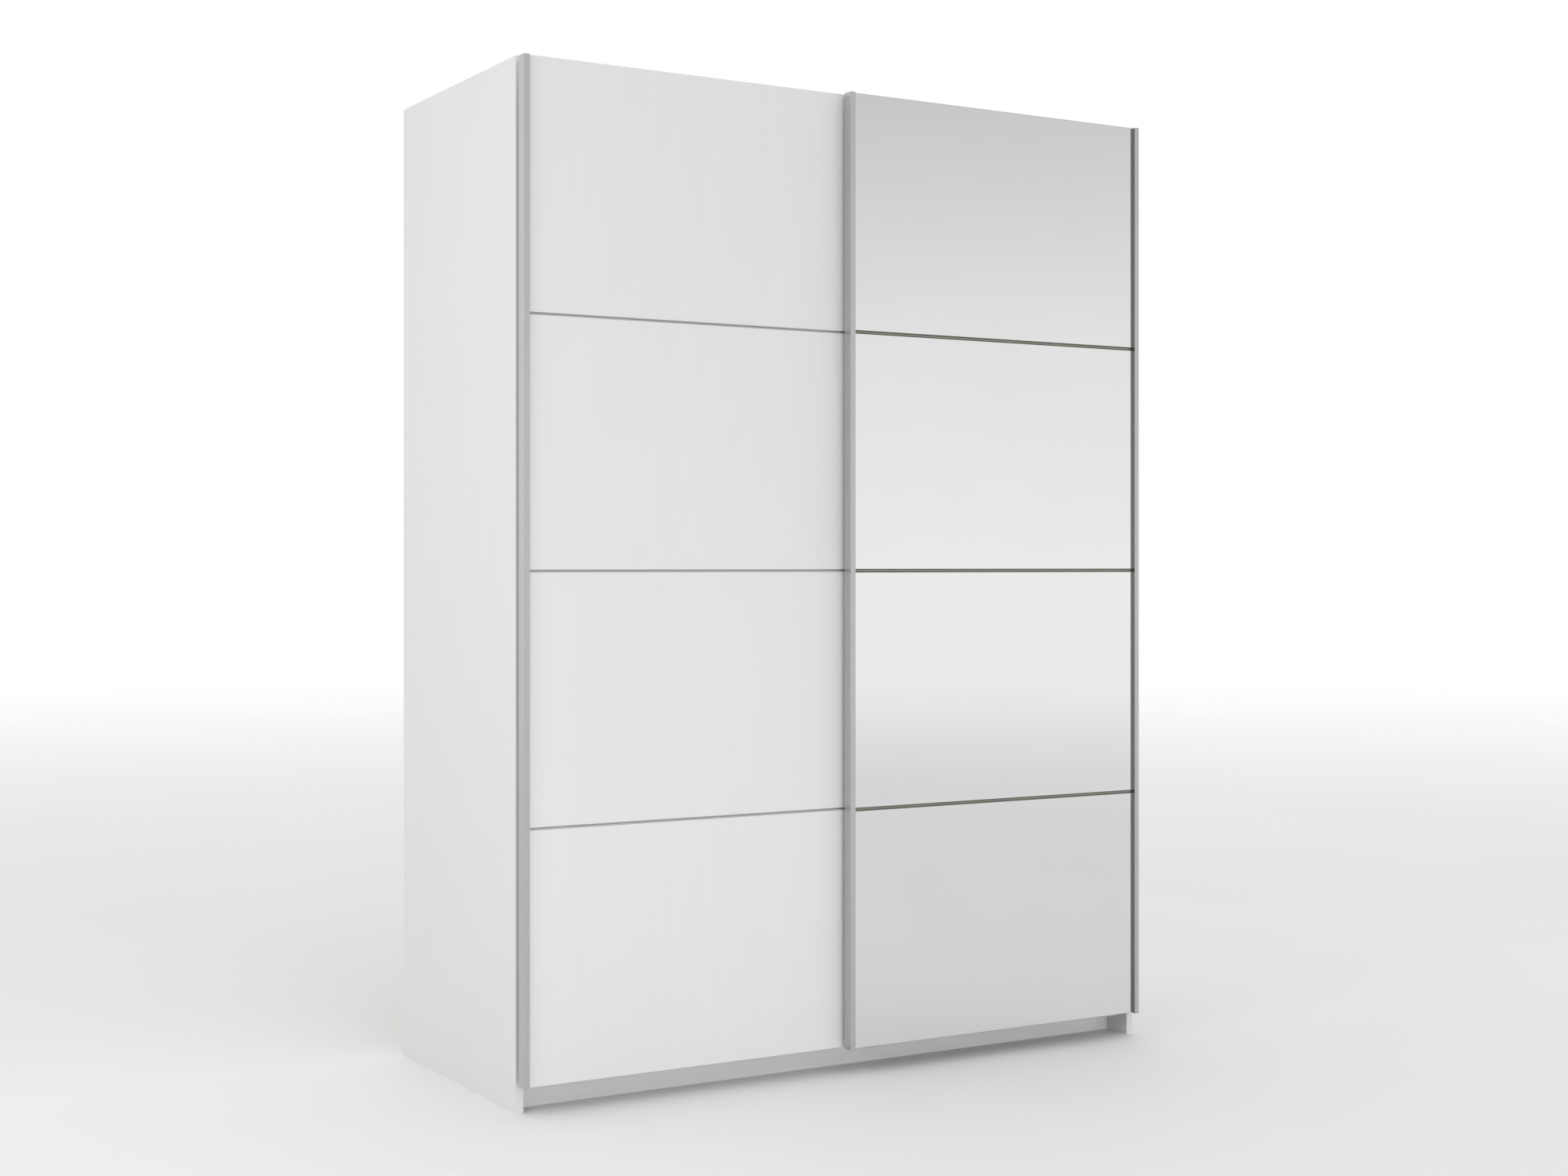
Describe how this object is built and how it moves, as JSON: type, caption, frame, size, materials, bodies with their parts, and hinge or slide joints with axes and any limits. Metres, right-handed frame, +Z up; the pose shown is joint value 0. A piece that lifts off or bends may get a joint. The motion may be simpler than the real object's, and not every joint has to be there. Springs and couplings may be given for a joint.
{
  "type": "sliding door wardrobe",
  "caption": "Board wardrobe with two overlapping top-hung sliding doors, one plain and one mirrored, on a recessed plinth, with shelves and clothes rails inside.",
  "frame": {"origin": "on the floor, in the middle of the overall width and depth", "axes": "+Z up, the doors face -Y, +X to the right of someone facing them"},
  "size_m": [1.5, 0.664, 2.04],
  "materials": {
    "white_board": "satin white melamine-faced particleboard",
    "back_board": "thin hardboard, lacquered white inside, raw outside",
    "aluminium": "satin natural anodised",
    "bronze_aluminium": "dark bronze anodised",
    "mirror": "clear silvered float glass with polished edges",
    "grey_plastic": "fine-grained moulded plastic",
    "nylon": "natural nylon",
    "rubber": "matt black",
    "chrome": "bright plated",
    "dowel_wood": "bare beech",
    "zinc_alloy": "die-cast zinc",
    "zinc_steel": "bright zinc-plated steel"
  },
  "bodies": {
    "carcass": {"back_joint_strip": "grey_plastic", "back_screws": "zinc_steel", "bottom_guide_rail": "aluminium", "bottom_panel": "white_board", "cam_bolts": "zinc_steel", "cam_discs": "zinc_alloy", "centre_partition": "white_board", "clothes_rail_sockets": "grey_plastic", "clothes_rails": "chrome", "dowels": "dowel_wood", "front_plinth": "white_board", "left_back_panel": "back_board", "left_hat_shelf": "white_board", "left_side_panel": "white_board", "rail_screws": "zinc_steel", "rail_stops": "rubber", "rear_plinth": "white_board", "right_back_panel": "back_board", "right_hat_shelf": "white_board", "right_side_panel": "white_board", "shelf_pins": "zinc_steel", "top_panel": "white_board", "top_running_rail": "aluminium", "wall_brackets": "zinc_steel"},
    "left_door": {"left_door_axles": "zinc_steel", "left_door_board": "white_board", "left_door_guide_foot_1": "zinc_steel", "left_door_guide_foot_2": "zinc_steel", "left_door_guide_pins": "nylon", "left_door_hanger_1": "zinc_steel", "left_door_hanger_2": "zinc_steel", "left_door_left_profile": "aluminium", "left_door_profile_caps": "grey_plastic", "left_door_right_profile": "aluminium", "left_door_screws": "zinc_steel", "left_door_strip_1": "aluminium", "left_door_strip_2": "aluminium", "left_door_strip_3": "aluminium"},
    "right_door": {"mirror_pane_1": "mirror", "mirror_pane_2": "mirror", "mirror_pane_3": "mirror", "mirror_pane_4": "mirror", "right_door_axles": "zinc_steel", "right_door_board": "white_board", "right_door_guide_foot_1": "zinc_steel", "right_door_guide_foot_2": "zinc_steel", "right_door_guide_pins": "nylon", "right_door_hanger_1": "zinc_steel", "right_door_hanger_2": "zinc_steel", "right_door_left_profile": "aluminium", "right_door_profile_caps": "grey_plastic", "right_door_right_profile": "aluminium", "right_door_screws": "zinc_steel", "right_door_strip_1": "bronze_aluminium", "right_door_strip_2": "bronze_aluminium", "right_door_strip_3": "bronze_aluminium"},
    "left_roller_1": {"left_roller_1": "nylon"},
    "left_roller_2": {"left_roller_2": "nylon"},
    "right_roller_1": {"right_roller_1": "nylon"},
    "right_roller_2": {"right_roller_2": "nylon"}
  },
  "joints": [
    {"name": "left_door_slide", "type": "slide", "parent": "carcass", "child": "left_door", "axis": [1, 0, 0], "range_m": [0, 0.718]},
    {"name": "right_door_slide", "type": "slide", "parent": "carcass", "child": "right_door", "axis": [-1, 0, 0], "range_m": [0, 0.718]},
    {"name": "left_roller_1_spin", "type": "hinge", "parent": "left_door", "child": "left_roller_1", "pos_m": [-0.66, -0.247, 1.9863], "axis": [0, 1, 0], "range_deg": [0, 3740]},
    {"name": "left_roller_2_spin", "type": "hinge", "parent": "left_door", "child": "left_roller_2", "pos_m": [-0.077, -0.247, 1.9863], "axis": [0, 1, 0], "range_deg": [0, 3740]},
    {"name": "right_roller_1_spin", "type": "hinge", "parent": "right_door", "child": "right_roller_1", "pos_m": [0.061, -0.221, 1.9863], "axis": [0, -1, 0], "range_deg": [0, 3740]},
    {"name": "right_roller_2_spin", "type": "hinge", "parent": "right_door", "child": "right_roller_2", "pos_m": [0.644, -0.221, 1.9863], "axis": [0, -1, 0], "range_deg": [0, 3740]}
  ],
  "couplings": [
    {"joint": "left_roller_1_spin", "follows": "left_door_slide", "rad_per_m": 90.909},
    {"joint": "left_roller_2_spin", "follows": "left_door_slide", "rad_per_m": 90.909},
    {"joint": "right_roller_1_spin", "follows": "right_door_slide", "rad_per_m": 90.909},
    {"joint": "right_roller_2_spin", "follows": "right_door_slide", "rad_per_m": 90.909}
  ]
}
